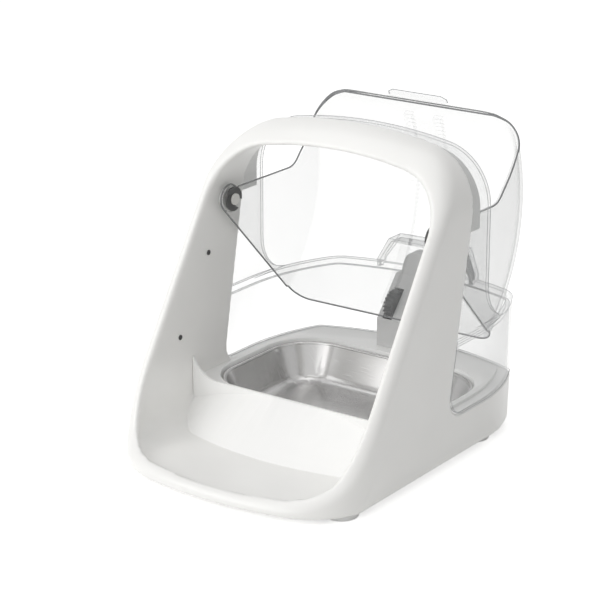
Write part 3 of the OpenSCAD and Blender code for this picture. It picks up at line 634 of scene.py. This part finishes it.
for side, label in ((-1, "left"), (1, "right")):
    hub = disc("visor_hub_" + label, 11.8, 2.6, (side * 104.7, AXIS_Y, AXIS_Z), 64, sideways=True)
    smooth_below(40)
    give_material(hub, clear_lid)
    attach(hub, "lid")

# rim right round the lid: lower edge, right hub, upper edge and left hub, dark as painted shade
# along the clear edge
lower = [row[0] for row in lid_rows]
upper = [row[-1] for row in lid_rows]
hub_right = [lid_place(LID_WIDTH, float(t)) for t in np.linspace(*HUB_TURNS, 24)]
hub_left = [lid_place(-LID_WIDTH, float(t)) for t in np.linspace(*HUB_TURNS, 24)]
lid_edge_line("visor_rim", lower + hub_right[::-1] + upper[::-1] + hub_left, 0.75, closed=True)

# flange along the upper edge: it stands out most in the middle, and its dark rim, painted shade, is
# thickest at the left bend
flange_rim, flange_shade_thick, flange_rows = [], [], []
for q in across_lid:
    if abs(q) <= LID_FLAT + 27:
        out = 0.3 + 2.8 * float(1 - step_up(abs(q), 60, 100))
        _, top = lid_turns(q)
        flange_rim.append(lid_place(q, top - 0.2, out))
        flange_shade_thick.append(1.0 + 2.0 * float(np.exp(-((q + LID_FLAT) / 20) ** 2)))
        flange_rows.append([lid_place(q, top - 0.1), lid_place(q, top - 0.1, out)])
lid_edge_line("visor_flange_rim", flange_rim, 0.6, thick=flange_shade_thick)
lid_sheet("visor_flange", flange_rows, 1.6)

# lifting tab on the flange, its corners cut back
TAB_HALF, TAB_CORNER, TAB_TOP, TAB_OUT = 30, 25, 31.9, 3.4
tab_rows = []
for x in np.linspace(-TAB_HALF, TAB_HALF, 13):
    high = TAB_TOP - max(0.0, abs(float(x)) - TAB_CORNER) * 0.22
    tab_rows.append([lid_place(float(x), t, TAB_OUT) for t in (29.6, 30.6, high)])
lid_sheet("visor_tab", tab_rows, 2.2)
# the tab's edge line is grey painted shade
tab_edge = [tab_rows[0][0]] + [row[2] for row in tab_rows] + [tab_rows[-1][0]]
lid_edge_line("visor_tab_rim", tab_edge, 0.4, material=edge_line_painted_shade)


def part_of(node, name, keep):
    """The faces of a node that keep picks, as a piece of their own."""
    source = node_object(node).data
    corners = np.zeros(len(source.vertices) * 3)
    source.vertices.foreach_get("co", corners)
    corners = corners.reshape(-1, 3)
    faces = [list(f.vertices) for f in source.polygons if all(keep(corners[v]) for v in f.vertices)]
    used = sorted({v for face in faces for v in face})
    number = {v: k for k, v in enumerate(used)}
    mesh = bpy.data.meshes.new(name)
    mesh.from_pydata([corners[v].tolist() for v in used], [],
                     [[number[v] for v in face] for face in faces])
    piece = add_object(name, mesh)
    select_only(piece)
    weld(merge_flat=False)
    smooth_below(30)
    return piece


def on_rack(p):
    """Whether a corner belongs to one of the two toothed rails on the lid."""
    out = math.hypot(p[1] * 1000 - AXIS_Y, p[2] * 1000 - AXIS_Z)
    return 10.5 < abs(p[0]) * 1000 < 19.5 and out > 150.5


racks = part_of("visor", "visor_racks", on_rack)
give_material(racks, clear_teeth)
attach(racks, "lid")

# ---------------------------------------------------------------- painted shade lines on the rear shell
SHADE_LINE_R, SHADE_LINE_TURN = 0.27, 50


def painted_shade_lines(node, name):
    """Thin grey lines along a node's sharp edges: painted shade where clear plastic looks darker."""
    copy_of_node(node, name)
    weld(merge_flat=True)
    bpy.ops.object.mode_set(mode="EDIT")
    bpy.ops.mesh.select_mode(type="EDGE")
    bpy.ops.mesh.select_all(action="DESELECT")
    bpy.ops.mesh.edges_select_sharp(sharpness=math.radians(SHADE_LINE_TURN))
    bpy.ops.mesh.select_all(action="INVERT")
    bpy.ops.mesh.delete(type="EDGE_FACE")
    bpy.ops.object.mode_set(mode="OBJECT")
    bpy.ops.object.convert(target="CURVE")
    bpy.context.object.data.bevel_depth = SHADE_LINE_R * MM
    bpy.context.object.data.bevel_resolution = 1
    bpy.ops.object.convert(target="MESH")
    line = bpy.context.object
    line.name = name
    smooth_below(50)
    held_in_box(line)
    return line


shell_shade_lines = painted_shade_lines("clear_shell", "rear_shell_shade_lines")
give_material(shell_shade_lines, edge_line_painted_shade)
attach(shell_shade_lines, "body")

# ---------------------------------------------------------------- feet and windows
FOOT_R, FOOT_HEIGHT, FOOT_EDGE_R = 14.5, 6.5, 1.2
WINDOW_R, WINDOW_DEPTH, WINDOW_X = 2.3, 1.2, 110.7
WINDOWS = ((-18, 156), (-59, 90))

for n, (x, y) in enumerate([(x, y) for x in (FOOT_X, -FOOT_X) for y in FOOT_Y], 1):
    foot = disc("foot_%d" % n, FOOT_R, FOOT_HEIGHT,
                (x, y - MIDDLE_Y, FOOT_HEIGHT / 2), 64, sideways=False)
    apply_modifier(foot, "BEVEL", width=FOOT_EDGE_R * MM, segments=3)
    smooth_below(40)
    give_material(foot, rubber)
    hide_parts("rubber_feet")
    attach(foot, "body")

for side, label in ((-1, "left"), (1, "right")):
    for n, (y, z) in enumerate(WINDOWS, 1):
        window = disc("sensor_window_%s_%d" % (label, n), WINDOW_R, WINDOW_DEPTH,
                      (side * WINDOW_X, y - MIDDLE_Y, z), 32, sideways=True)
        smooth_below(40)
        give_material(window, dark_part)
        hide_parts("sensor_windows")
        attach(window, "body")


# ---------------------------------------------------------------- studio
# Lengths are in metres again.
def greater_of(tree, first, second):
    node = add_node(tree, "Math", links={0: first, 1: second})
    node.operation = "MAXIMUM"
    return node.outputs[0]


def seen_directly(tree):
    """1 to the camera, through clear plastic and in reflections, and 0 as light on the object."""
    path = add_node(tree, "LightPath").outputs
    straight = greater_of(tree, path["Is Camera Ray"], path["Is Transmission Ray"])
    return greater_of(tree, straight, path["Is Glossy Ray"])


bpy.ops.object.select_all(action="DESELECT")
bpy.ops.mesh.primitive_plane_add(size=12, location=(0, 0, 0))
floor = bpy.context.object
floor.name = "studio_floor"
floor_material, floor_tree, floor_shader = new_material("studio white")
glow = add_node(floor_tree, "Math", {1: 0.6}, {0: seen_directly(floor_tree)})
glow.operation = "MULTIPLY"
wire(floor_tree, floor_shader,
     {"Base Color": (0.9, 0.9, 0.89, 1), "Roughness": 0.8, "Emission Color": (1, 1, 1, 1)},
     {"Emission Strength": glow.outputs[0]})
floor.data.materials.append(floor_material)

world = bpy.data.worlds.new("studio")
bpy.context.scene.world = world
world.use_nodes = True
world_tree = world.node_tree
light = wire(world_tree, world_tree.nodes["Background"], {"Color": (1, 1, 1, 1), "Strength": 0.42})
backdrop = add_node(world_tree, "Background", {"Color": (1, 1, 1, 1), "Strength": 1.0})
mixed = add_node(world_tree, "MixShader", links={
    "Fac": seen_directly(world_tree),
    1: light.outputs["Background"],
    2: backdrop.outputs["Background"],
})
wire(world_tree, world_tree.nodes["World Output"], links={"Surface": mixed.outputs["Shader"]})

LAMPS_AIM = Vector((0, 0, 0.13))


def area_lamp(name, place, size, power):
    data = bpy.data.lights.new(name, "AREA")
    data.shape = "RECTANGLE"
    data.size, data.size_y = size
    data.energy = power
    lamp = add_object(name, data)
    lamp.location = place
    lamp.rotation_euler = (LAMPS_AIM - Vector(place)).to_track_quat("-Z", "Y").to_euler()


area_lamp("key lamp", (-0.9, -1.3, 1.1), (1.2, 1.2), 8)
area_lamp("top lamp", (-0.2, -0.1, 1.6), (1.4, 1.4), 6)
area_lamp("front lamp", (-0.2, -1.9, 0.5), (1.4, 0.9), 8)

camera_data = bpy.data.cameras.new("camera")
camera_data.lens = 132.0
camera_data.sensor_width = 36.0
camera = add_object("camera", camera_data)
azimuth, elevation = math.radians(35.414), math.radians(18.703)
camera.location = (1.0048, -1.45412, 0.7266)
camera.rotation_euler = (math.pi / 2 - elevation, 0, azimuth)
bpy.context.scene.camera = camera
bpy.context.scene.view_settings.view_transform = "Standard"
